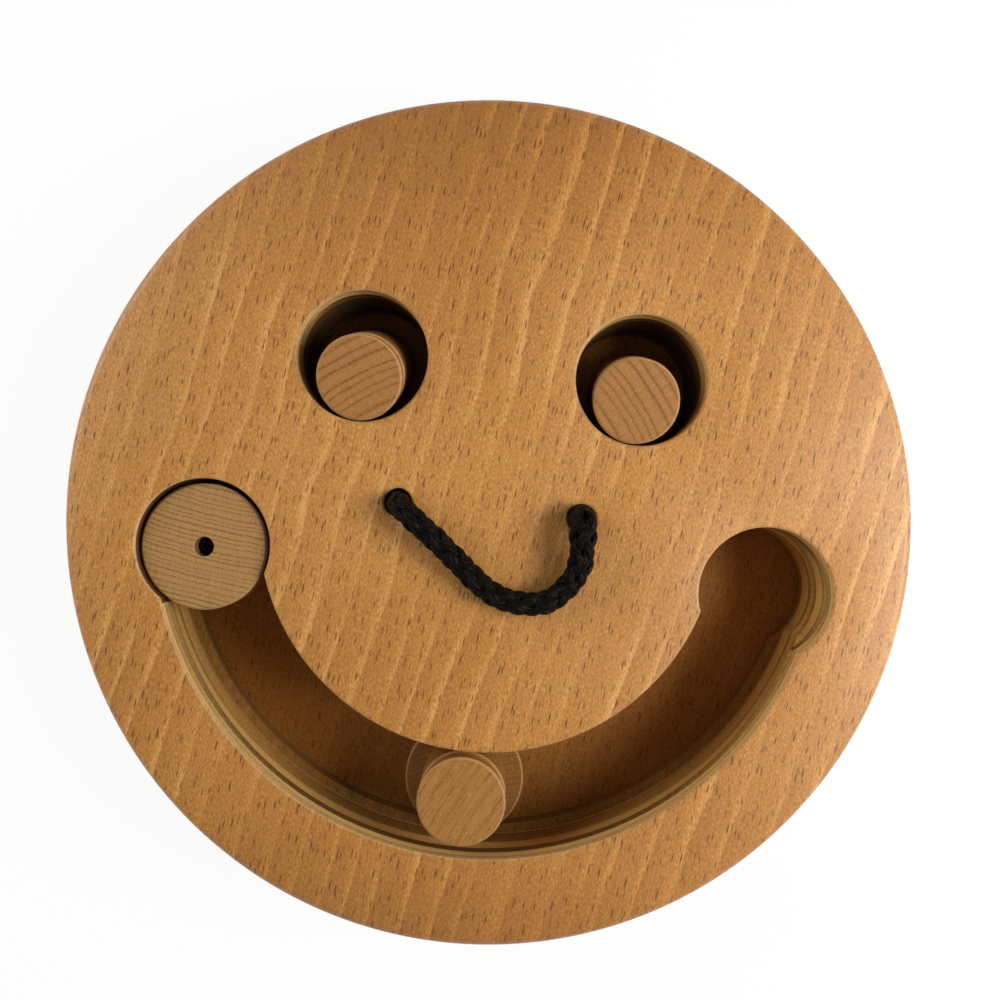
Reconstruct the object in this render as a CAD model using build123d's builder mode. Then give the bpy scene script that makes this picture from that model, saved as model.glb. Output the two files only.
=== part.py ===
"""Round wooden treat puzzle for a dog: a laminated beech disc that is laid out as a smiling face.

Two round wells hold loose pegs, a curved channel under a lip holds sliding pegs, and a short loop of
braided rope is knotted through the middle. Millimetres, +Z up, +Y towards the top of the face. The
origin is on the floor, under the middle of the disc.
"""

import os
from math import cos, radians, sin, tan

from build123d import *

# ---------------------------------------------------------------- driving dimensions

# Board: four round beech layers, glued face to face
board_d = 240.0
base_t = 5.0
lower_t = 4.5
core_t = 19.5
lip_t = 9.0
board_edge_r = 3.0  # rounding of the upper outer edge
base_edge_r = 1.0  # rounding of the lower outer edge
mouth_edge_r = 0.8  # broken edge round the wells and the channel

# Smile: a slot through the lip, a wider groove under it and a trough as wide as the slot at the bottom,
# with a round pocket at each end
slot_room = 5.0  # the slot is this much wider than a knob
rim_w = 25.0  # from the slot to the board's outer edge
groove_room = 1.5  # the groove is this much wider than a flange
groove_inset = 1.0  # the groove's path runs this much closer to the middle than the slot's
pocket_room = 2.0  # the pocket is this much wider than a flange
pocket_out = 0.9  # each pocket's middle lies this much further out than the slot's centre line
smile_drop = 9.6  # degrees that each pocket lies below the horizontal

# Eyes
eye_x = 39.5
eye_y = 43.75
eye_well_room = 13.0  # the well is this much wider than its peg

# Pegs: turned beech
knob_d = 25.0
flange_d = 36.0
flange_t = 7.0
eye_peg_d = 24.0
peg_proud = 2.0  # how far a standing peg rises over the board
peg_edge = 0.6  # chamfer on every turned edge
cap_t = 2.2  # from a peg's top face down to its cove
cove_w = 5.6
cove_depth = 1.3
left_lean = 13.0  # degrees off upright
left_lean_heading = -88.0  # the way the peg's top leans, in degrees from +X
right_lean = 11.0
right_lean_heading = -102.0
slider_at = -90.6  # where the sliding peg stands on the smile, in degrees from +X
parked_shift = (-0.24, -0.45)  # the parked peg's place in its pocket, off the middle

# Screw that holds a flange to its knob
peg_screw_d = 3.4
peg_screw_l = 18.0
peg_screw_head_d = 5.3
peg_screw_head_t = 2.0
peg_screw_sink = 5.0  # depth of the head's counterbore
screw_fit = 0.05  # radial room round every screw
head_room = 0.15  # radial room round every screw head
pan_rounding = 0.7  # share of a head's height that its rounded edge takes up

# Rope: black braid, knotted under the holes
rope_d = 7.5
rope_hole_room = 0.5
nose_half = 26.0  # each rope hole's distance from the middle line
nose_y = 3.5
knot_d = 15.0
knot_h = 12.0
knot_room = 1.5  # room round the knot, and over and under it together
rope_rest = 0.3  # gap under a rope that lies on the board
rope_cut = 4.5  # how far below the board's face the free stretch starts
rope_rise = 3.3  # how far over the board's face the rope stays upright in its hole
rope_arch = 4.3  # how far beside each hole the rope arches over where it lies
rope_bend_share = 0.45  # share of the shorter run that each bend takes up

# Feet: rubber bumpers, each on one screw
foot_h = 4.0
foot_d = 16.0
foot_taper = 0.8  # how much smaller the radius is at the floor
foot_edge_r = 0.6
foot_start = 45.0  # the first foot's place, in degrees from +X
foot_screw_d = 3.3
foot_screw_cover = 1.1  # wood left over the point of a foot's screw
foot_head_d = 7.0
foot_head_t = 1.7
foot_sink = 2.4

running_gap = 0.3  # between loose pieces and what they stand in

# ---------------------------------------------------------------- worked out from them

base_z = foot_h
floor_z = base_z + base_t
core_z = floor_z + lower_t
lip_z = core_z + core_t
top_z = lip_z + lip_t
well_depth = top_z - floor_z

board_r = board_d / 2
slot_w = knob_d + slot_room
groove_w = flange_d + groove_room
slot_r = board_r - rim_w - slot_w / 2
groove_r = slot_r - groove_inset
pocket_d = flange_d + pocket_room
pocket_angles = (-smile_drop, smile_drop - 180)

eye_well_d = eye_peg_d + eye_well_room
eye_peg_l = well_depth + peg_proud
sliding_peg_l = top_z + peg_proud - core_z
slider_r = groove_r - groove_room / 2 + running_gap

rope_hole_d = rope_d + rope_hole_room
knot_hole_d = knot_d + knot_room
knot_hole_h = knot_h + knot_room
rope_lies_z = top_z + rope_d / 2 + rope_rest

foot_r = (groove_r + groove_w / 2 + board_r) / 2
foot_names = ("right_rear_foot", "left_rear_foot", "left_front_foot", "right_front_foot")
foot_step = 360 / len(foot_names)
foot_screw_l = core_z - foot_screw_cover - foot_sink


def on_circle(radius, angle):
    """Point at that radius and angle round the board's middle."""
    return (radius * cos(radians(angle)), radius * sin(radians(angle)))


eyes = {"left": (-eye_x, eye_y), "right": (eye_x, eye_y)}
nose_holes = {"left": (-nose_half, nose_y), "right": (nose_half, nose_y)}
pockets = [on_circle(slot_r + pocket_out, angle) for angle in pocket_angles]
slider_place = on_circle(slider_r, slider_at)
parked_place = (pockets[1][0] + parked_shift[0], pockets[1][1] + parked_shift[1])
foot_places = {name: on_circle(foot_r, foot_start + i * foot_step) for i, name in enumerate(foot_names)}

os.makedirs("parts", exist_ok=True)


def save(part, name):
    """Label a finished piece and write it as parts/NAME.step."""
    part.label = name
    export_step(part, f"parts/{name}.step")


# ---------------------------------------------------------------- board


def smile_path(radius):
    """Centre line of the smile at that radius, from the left pocket round to the right one."""
    right_angle, left_angle = pocket_angles
    return CenterArc((0, 0), radius, left_angle, right_angle - left_angle, mode=Mode.PRIVATE)


def cut_board_holes(smile_r, smile_w, rope_hole):
    """Take the wells, the pockets, the smile and the rope holes out of a layer's sketch."""
    with Locations(*eyes.values()):
        Circle(eye_well_d / 2, mode=Mode.SUBTRACT)
    with Locations(*pockets):
        Circle(pocket_d / 2, mode=Mode.SUBTRACT)
    SlotArc(smile_path(smile_r), smile_w, mode=Mode.SUBTRACT)
    with Locations(*nose_holes.values()):
        Circle(rope_hole / 2, mode=Mode.SUBTRACT)


def cut_foot_screw_holes(start_z):
    """Take the feet's screw holes out of a layer, from its lower face up to the screws' points."""
    with BuildSketch(Plane.XY.offset(start_z)) as holes:
        with PolarLocations(foot_r, len(foot_names), start_angle=foot_start):
            Circle(foot_screw_d / 2 + screw_fit)
    extrude(holes.sketch, amount=foot_sink + foot_screw_l - start_z + running_gap, mode=Mode.SUBTRACT)


# Top board: the lip that keeps the sliding pegs in, with its rim rounded over
with BuildPart() as top_board:
    with BuildSketch(Plane.XY.offset(lip_z)):
        Circle(board_r)
        cut_board_holes(slot_r, slot_w, rope_hole_d)
    extrude(amount=lip_t)
    top_edges = top_board.edges().group_by(Axis.Z)[-1].sort_by(SortBy.LENGTH)
    fillet(top_edges[-1], board_edge_r)
    fillet(top_board.edges().group_by(Axis.Z)[-1].sort_by(SortBy.LENGTH)[:-1], mouth_edge_r)
save(top_board.part, "top_board")

# Core board: the groove that a flange slides in, and the roof of the two knot holes
with BuildPart() as core_board:
    with BuildSketch(Plane.XY.offset(core_z)):
        Circle(board_r)
        cut_board_holes(groove_r, groove_w, rope_hole_d)
    extrude(amount=core_t)
    with BuildSketch(Plane.XY.offset(core_z)):
        with Locations(*nose_holes.values()):
            Circle(knot_hole_d / 2)
    extrude(amount=knot_hole_h - lower_t, mode=Mode.SUBTRACT)
save(core_board.part, "core_board")

# Lower board: a narrower trough for the treats, with the ledge that a flange slides on along each side,
# and the knot holes
with BuildPart() as lower_board:
    with BuildSketch(Plane.XY.offset(floor_z)):
        Circle(board_r)
        cut_board_holes(slot_r, slot_w, knot_hole_d)
    extrude(amount=lower_t)
    cut_foot_screw_holes(floor_z)
save(lower_board.part, "lower_board")

# Base board: the floor of the wells and of the channel
with BuildPart() as base_board:
    with BuildSketch(Plane.XY.offset(base_z)):
        Circle(board_r)
    extrude(amount=base_t)
    fillet(base_board.edges().group_by(Axis.Z)[0], base_edge_r)
    cut_foot_screw_holes(base_z)
save(base_board.part, "base_board")

# ---------------------------------------------------------------- feet


def turning_plane(seat):
    """Plane through a round piece's axis: X is its radius, and Y its height over the seat."""
    return Plane(origin=seat.origin, x_dir=seat.x_dir, z_dir=-seat.y_dir)


def turn(seat, mode=Mode.ADD):
    """Revolve the sketched half section about the seat's axis."""
    revolve(axis=Axis(seat.origin, seat.z_dir), mode=mode)


def rubber_foot(seat):
    """Tapered bumper with a counterbored hole for its screw."""
    hole_r = foot_screw_d / 2 + screw_fit
    sink_r = foot_head_d / 2 + head_room
    with BuildPart() as foot:
        with BuildSketch(turning_plane(seat)) as section:
            with BuildLine():
                Polyline(
                    (hole_r, foot_sink),
                    (sink_r, foot_sink),
                    (sink_r, 0),
                    (foot_d / 2 - foot_taper, 0),
                    (foot_d / 2, foot_h),
                    (hole_r, foot_h),
                    close=True,
                )
            make_face()
            floor_corners = section.vertices().group_by(Axis.Y)[0]
            fillet(floor_corners.sort_by(Axis.X)[-1], foot_edge_r)
        turn(seat)
    return foot.part


def pan_screw(seat, shank_d, shank_l, head_d, head_t):
    """Pan-head screw: its head sits below the seat's plane, and its shank points up to a cone."""
    with BuildPart() as screw:
        with BuildSketch(turning_plane(seat)) as section:
            with BuildLine():
                Polyline(
                    (0, shank_l),
                    (shank_d / 2, shank_l - shank_d),
                    (shank_d / 2, 0),
                    (head_d / 2, 0),
                    (head_d / 2, -head_t),
                    (0, -head_t),
                    close=True,
                )
            make_face()
            head_corners = section.vertices().group_by(Axis.Y)[0]
            fillet(head_corners.sort_by(Axis.X)[-1], head_t * pan_rounding)
        turn(seat)
    return screw.part


for foot_name, (foot_x, foot_y) in foot_places.items():
    save(rubber_foot(Plane(origin=(foot_x, foot_y, 0))), foot_name)
    screw_seat = Plane(origin=(foot_x, foot_y, foot_sink))
    foot_screw = pan_screw(screw_seat, foot_screw_d, foot_screw_l, foot_head_d, foot_head_t)
    save(foot_screw, f"{foot_name}_screw")

# ---------------------------------------------------------------- pegs


def sketch_knob(radius, foot_y, top_y, foot_edge):
    """Half section of a turned knob, with a shallow cove under its cap for teeth or fingers."""
    cove_top = top_y - cap_t
    cove_foot = cove_top - cove_w
    with BuildLine() as outline:
        Polyline((0, top_y), (0, foot_y), (radius - foot_edge, foot_y))
        if foot_edge:
            Line((radius - foot_edge, foot_y), (radius, foot_y + foot_edge))
        Line((radius, foot_y + foot_edge), (radius, cove_foot))
        ThreePointArc(
            (radius, cove_foot),
            (radius - cove_depth, (cove_foot + cove_top) / 2),
            (radius, cove_top),
        )
        Polyline((radius, cove_top), (radius, top_y - peg_edge), (radius - peg_edge, top_y), (0, top_y))
    make_face(outline.line)


def eye_peg(seat):
    """Plain loose peg: one turned piece of end-grain beech."""
    with BuildPart() as peg:
        with BuildSketch(turning_plane(seat)):
            sketch_knob(eye_peg_d / 2, 0, eye_peg_l, peg_edge)
        turn(seat)
    return peg.part


def flange(seat):
    """Disc under a sliding peg, drilled and counterbored for the screw that holds it to the knob."""
    with BuildPart() as disc:
        with BuildSketch(seat):
            Circle(flange_d / 2)
        extrude(amount=flange_t)
        chamfer(disc.edges(), peg_edge)
        with Locations(Plane(origin=seat.origin, x_dir=seat.x_dir, z_dir=-seat.z_dir)):
            CounterBoreHole(
                peg_screw_d / 2 + screw_fit,
                peg_screw_head_d / 2 + head_room,
                peg_screw_sink,
                flange_t,
            )
    return disc.part


def flanged_knob(seat):
    """Knob of a sliding peg: it stands on the flange, with a pilot hole up its middle."""
    pilot_h = peg_screw_l - (flange_t - peg_screw_sink) + running_gap
    with BuildPart() as knob:
        with BuildSketch(turning_plane(seat)):
            sketch_knob(knob_d / 2, flange_t, sliding_peg_l, 0)
        turn(seat)
        with BuildSketch(seat.offset(flange_t)):
            Circle(peg_screw_d / 2 + screw_fit)
        extrude(amount=pilot_h, mode=Mode.SUBTRACT)
    return knob.part


def save_sliding_peg(name, seat):
    """Write a sliding peg's three pieces."""
    save(flanged_knob(seat), f"{name}_knob")
    save(flange(seat), f"{name}_flange")
    screw = pan_screw(
        seat.offset(peg_screw_sink), peg_screw_d, peg_screw_l, peg_screw_head_d, peg_screw_head_t
    )
    save(screw, f"{name}_screw")


def leaning_seat(eye, lean, heading):
    """Seat of a peg that stands on one edge of its foot and leans on the well's rim."""
    peg_r = eye_peg_d / 2
    foot_lift = peg_r * sin(radians(lean))
    rim_reach = eye_well_d / 2 - running_gap - peg_r / cos(radians(lean))
    foot_reach = rim_reach - (well_depth - foot_lift) * tan(radians(lean))
    along, across = on_circle(1, heading)
    return Plane(
        origin=(eye[0] + foot_reach * along, eye[1] + foot_reach * across, floor_z + foot_lift),
        x_dir=(-across, along, 0),
        z_dir=(along * sin(radians(lean)), across * sin(radians(lean)), cos(radians(lean))),
    )


# Eye pegs: loose, so each leans on the rim of its well
left_seat = leaning_seat(eyes["left"], left_lean, left_lean_heading)
save(eye_peg(left_seat), "left_eye_peg")
right_seat = leaning_seat(eyes["right"], right_lean, right_lean_heading)
save(eye_peg(right_seat), "right_eye_peg")

# Mouth slider: flange on the ledges under the lip, and knob up through the slot
save_sliding_peg("slider", Plane(origin=(*slider_place, core_z)))

# Parked peg: the same peg turned over in the left pocket, on its knob
save_sliding_peg("parked", Plane(origin=(*parked_place, floor_z + sliding_peg_l), z_dir=(0, 0, -1)))

# ---------------------------------------------------------------- rope

rope_crest_z = rope_lies_z + rope_arch
rope_turn_z = top_z + rope_rise
rope_start_z = top_z - rope_cut

# Route of the free stretch, from the right hole round to the left one
rope_route = [
    (nose_half, nose_y, rope_start_z),
    (nose_half, nose_y, rope_turn_z),
    (nose_half + 0.4, nose_y - 5.3, rope_crest_z),
    (27.0, -9.2, rope_crest_z - 0.6),
    (23.8, -15.9, rope_lies_z + 1.3),
    (17.7, -21.4, rope_lies_z),
    (7.1, -21.4, rope_lies_z),
    (-0.2, -17.9, rope_lies_z),
    (-8.2, -10.7, rope_lies_z),
    (-15.6, -4.3, rope_crest_z - 0.4),
    (-nose_half + 4.2, nose_y - 3.2, rope_crest_z),
    (-nose_half, nose_y, rope_turn_z),
    (-nose_half, nose_y, rope_start_z),
]


def bend_radii(points):
    """Radius of the bend at each inner point of a route."""
    radii = []
    for before, corner, after in zip(points, points[1:], points[2:]):
        run_in = Vector(corner) - Vector(before)
        run_out = Vector(after) - Vector(corner)
        half_turn = radians(run_in.get_angle(run_out) / 2)
        radii.append(rope_bend_share * min(run_in.length, run_out.length) / tan(half_turn))
    return radii


rope_radii = bend_radii(rope_route)
with BuildPart() as nose_rope:
    with BuildLine() as rope_line:
        FilletPolyline(*rope_route, radius=rope_radii)
    with BuildSketch(Plane.XY.offset(rope_start_z)):
        with Locations((nose_half, nose_y)):
            Circle(rope_d / 2)
    sweep(path=rope_line.wires()[0])
save(nose_rope.part, "nose_rope")


def rope_end(place):
    """Rope from the free stretch down its hole, with the knot that it hangs on."""
    knot_seat = Plane(origin=(*place, floor_z + knot_room / 2))
    with BuildPart() as end:
        with BuildSketch(turning_plane(knot_seat)):
            with Locations((0, knot_h / 2)):
                Ellipse(knot_d / 2, knot_h / 2)
            with Locations((-knot_d / 2, knot_h / 2)):
                Rectangle(knot_d, knot_h * 2, mode=Mode.SUBTRACT)
        turn(knot_seat)
        with BuildSketch(Plane.XY.offset(rope_start_z)):
            with Locations(place):
                Circle(rope_d / 2)
        extrude(amount=knot_seat.origin.Z + knot_h / 2 - rope_start_z)
    return end.part


for side, place in nose_holes.items():
    save(rope_end(place), f"{side}_rope_end")

print("rope bends, in mm:", [round(radius, 1) for radius in rope_radii])
print("rope length", round(rope_line.wires()[0].length, 1))
print("rope volume over section times length", round(
    nose_rope.part.volume / (rope_line.wires()[0].length * Circle(rope_d / 2).area), 4
))
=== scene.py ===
"""A round beech treat puzzle for a dog, laid out as a smiling face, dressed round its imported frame."""

from math import asin, atan2, cos, degrees, hypot, inf, pi, radians, sin, sqrt, tan

import bmesh
import bpy
from mathutils import Matrix, Vector


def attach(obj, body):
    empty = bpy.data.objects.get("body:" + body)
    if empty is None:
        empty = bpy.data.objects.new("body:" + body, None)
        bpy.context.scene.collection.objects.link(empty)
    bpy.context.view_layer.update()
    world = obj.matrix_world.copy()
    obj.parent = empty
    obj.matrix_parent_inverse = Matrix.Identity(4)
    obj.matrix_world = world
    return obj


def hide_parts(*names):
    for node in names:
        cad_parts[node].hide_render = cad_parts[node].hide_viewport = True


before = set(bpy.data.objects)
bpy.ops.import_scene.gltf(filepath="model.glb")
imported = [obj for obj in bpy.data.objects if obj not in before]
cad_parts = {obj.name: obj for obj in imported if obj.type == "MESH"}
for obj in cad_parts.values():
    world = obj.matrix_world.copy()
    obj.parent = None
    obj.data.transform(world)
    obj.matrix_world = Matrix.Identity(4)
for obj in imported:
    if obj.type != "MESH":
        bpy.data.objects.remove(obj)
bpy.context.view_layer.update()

# ------------------------ table, daylight and camera
# The toy lies on a white table. Soft daylight comes from a near window on its right and a wider one on
# its left, and whoever leans over the toy keeps the light off from straight above.

MM = 0.001


def srgb(hex_colour):
    """Linear RGBA of a colour written as sRGB hex."""
    parts = [int(hex_colour[i:i + 2], 16) / 255 for i in (1, 3, 5)]
    return [p / 12.92 if p <= 0.04045 else ((p + 0.055) / 1.055) ** 2.4 for p in parts] + [1.0]


def add(tree, kind, sockets=None, ramp=None, **settings):
    """Add a node with its settings. Each socket gets a value, or a link from a node or an output."""
    node = tree.nodes.new(kind)
    for name, value in settings.items():
        setattr(node, name, value)
    for key, value in (sockets or {}).items():
        if isinstance(value, bpy.types.Node):
            value = next(out for out in value.outputs if out.enabled)
        if isinstance(value, bpy.types.NodeSocket):
            tree.links.new(value, node.inputs[key])
        else:
            node.inputs[key].default_value = value
    for i, (position, colour) in enumerate(ramp or []):
        stops = node.color_ramp.elements
        stop = stops[i] if i < len(stops) else stops.new(position)
        stop.position = position
        stop.color = srgb(colour) if isinstance(colour, str) else (colour, colour, colour, 1)
    return node


def new_material(name):
    """An empty node material and its tree."""
    material = bpy.data.materials.new(name)
    material.use_nodes = True
    material.node_tree.nodes.clear()
    return material, material.node_tree


def new_object(name, data):
    """An object for that data, in the scene."""
    thing = bpy.data.objects.new(name, data)
    bpy.context.scene.collection.objects.link(thing)
    return thing


face_height = 0.042  # of the board's face over the table
camera_height = 0.255  # over the face
seen_width = 1 / 3.552  # of the face's plane, from one side of the view to the other
camera_x, camera_y, camera_turn = 0.0027, 0.0066, 5
camera = new_object("camera", bpy.data.cameras.new("camera"))
camera.location = (camera_x, camera_y, face_height + camera_height)
camera.rotation_euler = (0, 0, radians(camera_turn))
camera.data.sensor_width = 36
camera.data.lens = camera.data.sensor_width * camera_height / seen_width
camera.data.clip_start = 0.01
bpy.context.scene.camera = camera
bpy.context.scene.view_settings.view_transform = "Standard"

# Each window's place, width in metres and watts
windows = {"near": ((0.46, 0.0, 0.41), 0.30, 3.6), "far": ((-0.70, 0.24, 0.42), 0.50, 3.2)}
for side, (place, size, watts) in windows.items():
    window = new_object(f"{side}_window", bpy.data.lights.new(f"{side}_window", "AREA"))
    window.data.size = size
    window.data.energy = watts
    window.data.color = (1.0, 0.97, 0.93)
    window.location = place
    window.rotation_euler = (Vector(place) - Vector((0, 0, face_height))).to_track_quat("Z", "Y").to_euler()
    window.visible_camera = False

# The sky is dim, and dimmer overhead. Gloss sees a pale room that fades out towards the ceiling.
side_light, zenith_light = 0.32, 0.14
side_gloss, zenith_gloss = 0.6, 0.07
world = bpy.data.worlds.new("daylight")
bpy.context.scene.world = world
world.use_nodes = True
sky = world.node_tree
sky.nodes.clear()
rays = add(sky, "ShaderNodeLightPath")
toward = add(sky, "ShaderNodeTexCoord")
height = add(sky, "ShaderNodeSeparateXYZ", {0: toward.outputs["Generated"]})
dimming = add(sky, "ShaderNodeMapRange", {
    "Value": height.outputs["Z"], "From Min": 0.6, "From Max": 0.97,
    "To Min": side_light, "To Max": zenith_light})
fading = add(sky, "ShaderNodeMapRange", {
    "Value": height.outputs["Z"], "From Min": 0.3, "From Max": 0.9,
    "To Min": side_gloss, "To Max": zenith_gloss})
mirrored = add(sky, "ShaderNodeMath", {0: rays.outputs["Is Glossy Ray"], 1: fading}, operation="MULTIPLY")
seen = add(sky, "ShaderNodeMath", {
    0: rays.outputs["Is Camera Ray"], 1: rays.outputs["Is Transmission Ray"]}, operation="MAXIMUM")
seen = add(sky, "ShaderNodeMath", {0: seen, 1: mirrored}, operation="MAXIMUM")
soft = add(sky, "ShaderNodeBackground", {"Color": srgb("#fff8ee"), "Strength": dimming})
white = add(sky, "ShaderNodeBackground", {"Color": (1, 1, 1, 1), "Strength": 1.0})
shown = add(sky, "ShaderNodeMixShader", {0: seen, 1: soft, 2: white})
add(sky, "ShaderNodeOutputWorld", {"Surface": shown})

table_half, table_z = 3.0, -0.0002
table_mesh = bpy.data.meshes.new("table")
table_mesh.from_pydata(
    [(x * table_half, y * table_half, table_z) for x, y in ((-1, -1), (1, -1), (1, 1), (-1, 1))],
    [], [(0, 1, 2, 3)])
table = new_object("table", table_mesh)
# White laminate: it shows as plain white, and keeps the toy's soft shadow
laminate, tree = new_material("white_laminate")
rays = add(tree, "ShaderNodeLightPath")
seen = add(tree, "ShaderNodeMath", {
    0: rays.outputs["Is Camera Ray"], 1: rays.outputs["Is Glossy Ray"]}, operation="MAXIMUM")
seen = add(tree, "ShaderNodeMath", {0: seen, 1: rays.outputs["Is Transmission Ray"]}, operation="MAXIMUM")
share = add(tree, "ShaderNodeMath", {0: seen, 1: 0.92}, operation="MULTIPLY")
matt = add(tree, "ShaderNodeBsdfDiffuse", {"Color": (0.95, 0.95, 0.95, 1)})
bright = add(tree, "ShaderNodeEmission", {"Color": (1, 1, 1, 1), "Strength": 1.0})
mixed = add(tree, "ShaderNodeMixShader", {0: share, 1: matt, 2: bright})
add(tree, "ShaderNodeOutputMaterial", {"Surface": mixed})
table_mesh.materials.append(laminate)

# ------------------------ base and lower boards
# The board is four round layers of beech plywood, glued face to face and sanded flush. The base is
# the floor of the wells and of the smile, and the lower board leaves a ledge along the smile for the
# pegs' flanges to slide on. All is oiled and lacquered, thinly inside the wells.

board_r, base_edge_r = 120.0, 1.0
base_z, floor_z, ledge_z, lip_z, top_z = 4.0, 9.0, 13.5, 33.0, 42.0
eyes = {"left": (-39.5, 43.75), "right": (39.5, 43.75)}
eye_well_r = 18.5
rope_holes = {"left": (-26.0, 3.5), "right": (26.0, 3.5)}
rope_hole_r, knot_hole_r = 4.0, 8.25
pocket_r, pocket_out, smile_drop = 19.0, 0.9, 9.6
smile_r, slot_w = 80.0, 30.0
groove_r, groove_w = 79.0, 37.5
pocket_x = (smile_r + pocket_out) * cos(radians(smile_drop))
pocket_y = -(smile_r + pocket_out) * sin(radians(smile_drop))
sharp_angle = radians(28)
on_edge = 1  # a layer's first finish is its faces', and the next its edges'


def arc(centre, radius, start, end, steps):
    """Points along an arc, from one angle to the other in degrees, without the last one."""
    turns = [radians(start + (end - start) * i / steps) for i in range(steps)]
    return [(centre[0] + radius * cos(t), centre[1] + radius * sin(t)) for t in turns]


def crossing(near, near_r, far, far_r, side):
    """Where two circles cross, on the left (1) or the right (-1) of the line from near to far."""
    dx, dy = far[0] - near[0], far[1] - near[1]
    apart = hypot(dx, dy)
    along = (apart ** 2 + near_r ** 2 - far_r ** 2) / (2 * apart)
    across = side * sqrt(near_r ** 2 - along ** 2)
    return (near[0] + (dx * along - dy * across) / apart, near[1] + (dy * along + dx * across) / apart)


def turn_of(centre, point):
    """Angle of a point round a centre, in degrees."""
    return degrees(atan2(point[1] - centre[1], point[0] - centre[0]))


def smile_outline(path_r, width, growth=0.0):
    """Outline of the smile with its two pockets, from the middle of its outer side to the right."""
    half, pocket = width / 2 + growth, pocket_r + growth
    outer, inner = path_r + half, path_r - half
    drop = radians(smile_drop)
    middle, end = (0.0, 0.0), (pocket_x, pocket_y)
    cap = (path_r * cos(drop), -path_r * sin(drop))
    first = crossing(middle, outer, end, pocket, -1)
    right = arc(middle, outer, -90, turn_of(middle, first), steps=72)
    if inner < smile_r + pocket_out - pocket:
        second = crossing(end, pocket, cap, half, -1)
        right += arc(end, pocket, turn_of(end, first), turn_of(end, second), steps=56)
        right += arc(cap, half, turn_of(cap, second), 180 - smile_drop, steps=16)
        right += arc(middle, inner, -smile_drop, -90, steps=64)
    else:
        second = crossing(middle, inner, end, pocket, -1)
        right += arc(end, pocket, turn_of(end, first), turn_of(end, second) + 360, steps=72)
        right += arc(middle, inner, turn_of(middle, second), -90, steps=64)
    left = [(-x, y) for x, y in right[1:]]
    return right + [(0.0, -inner)] + left[::-1]


def ring(centre, radius, steps):
    """Points of a whole circle."""
    return arc(centre, radius, 0, 360, steps)


def bridge(bm, loops):
    """Smooth faces between each loop of vertices and the next."""
    for under, over in zip(loops, loops[1:]):
        for i, vert in enumerate(under):
            j = (i + 1) % len(under)
            bm.faces.new((vert, under[j], over[j], over[i])).smooth = True


def closed_mesh(name, bm):
    """The mesh of a closed surface, with its normals outwards and its hard edges marked sharp."""
    bmesh.ops.recalc_face_normals(bm, faces=bm.faces)
    mesh = bpy.data.meshes.new(name)
    bm.to_mesh(mesh)
    bm.free()
    mesh.set_sharp_from_angle(angle=sharp_angle)
    return mesh


def layer_mesh(name, outer, holes):
    """One layer of the board. outer and each hole are lists of (outline, height), from the bottom up."""
    bm = bmesh.new()
    low_edges, high_edges = [], []
    for wall in [outer, *holes]:
        loops = [[bm.verts.new((x * MM, y * MM, z * MM)) for x, y in outline] for outline, z in wall]
        bridge(bm, loops)
        for loop, edges in ((loops[0], low_edges), (loops[-1], high_edges)):
            edges += [bm.edges.get((loop[i - 1], loop[i])) for i in range(len(loop))]
    for face in bm.faces:
        face.material_index = on_edge
    for edges in (low_edges, high_edges):
        bmesh.ops.triangle_fill(bm, use_beauty=True, edges=edges, normal=(0, 0, 1))
    return closed_mesh(name, bm)


def rounded(outline_at, radius, z_edge, up, steps=6):
    """Outlines and heights of a rounded edge that ends at z_edge. outline_at takes the inset."""
    levels = []
    for i in range(steps + 1):
        turn = radians(90 * i / steps)
        levels.append((outline_at(radius * (1 - cos(turn))), z_edge + up * radius * (sin(turn) - 1)))
    return levels if up > 0 else levels[::-1]


def dress(name, mesh, finishes, body, *nodes):
    """Dress a piece in its finishes, and put it on its body in place of its plain solids."""
    for material in finishes:
        mesh.materials.append(material)
    piece = new_object(name, mesh)
    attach(piece, body)
    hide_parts(*nodes)
    return piece


def object_mm(tree, turn=0.0, offset=(0, 0, 0)):
    """Object coordinates in millimetres, turned about the upright and moved by an offset."""
    where = add(tree, "ShaderNodeTexCoord")
    return add(tree, "ShaderNodeMapping", {
        "Vector": where.outputs["Object"], "Location": offset, "Rotation": (0, 0, radians(turn)),
        "Scale": (1 / MM,) * 3})


def streaks(tree, place, sizes, detail=2.0, roughness=0.5):
    """Noise in streaks of these sizes, in millimetres along x, y and z."""
    at = add(tree, "ShaderNodeMapping", {"Vector": place, "Scale": [1 / size for size in sizes]})
    return add(tree, "ShaderNodeTexNoise", {
        "Vector": at, "Scale": 1.0, "Detail": detail, "Roughness": roughness})


def shade(tree, tone, pattern, depth, middle=0.5):
    """A tone that a pattern lightens and darkens, on either side of the pattern's middle value."""
    off = add(tree, "ShaderNodeMath", {0: pattern, 1: middle}, operation="SUBTRACT")
    return add(tree, "ShaderNodeMath", {0: off, 1: depth, 2: tone}, operation="MULTIPLY_ADD")


def skin(tree, height, strength, depth, sockets):
    """A material's outermost part: a relief of that depth in millimetres, and how it takes light."""
    bump = add(tree, "ShaderNodeBump", {"Height": height, "Strength": strength, "Distance": depth * MM})
    surface = add(tree, "ShaderNodeBsdfPrincipled", {**sockets, "Normal": bump})
    add(tree, "ShaderNodeOutputMaterial", {"Surface": surface})


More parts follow.
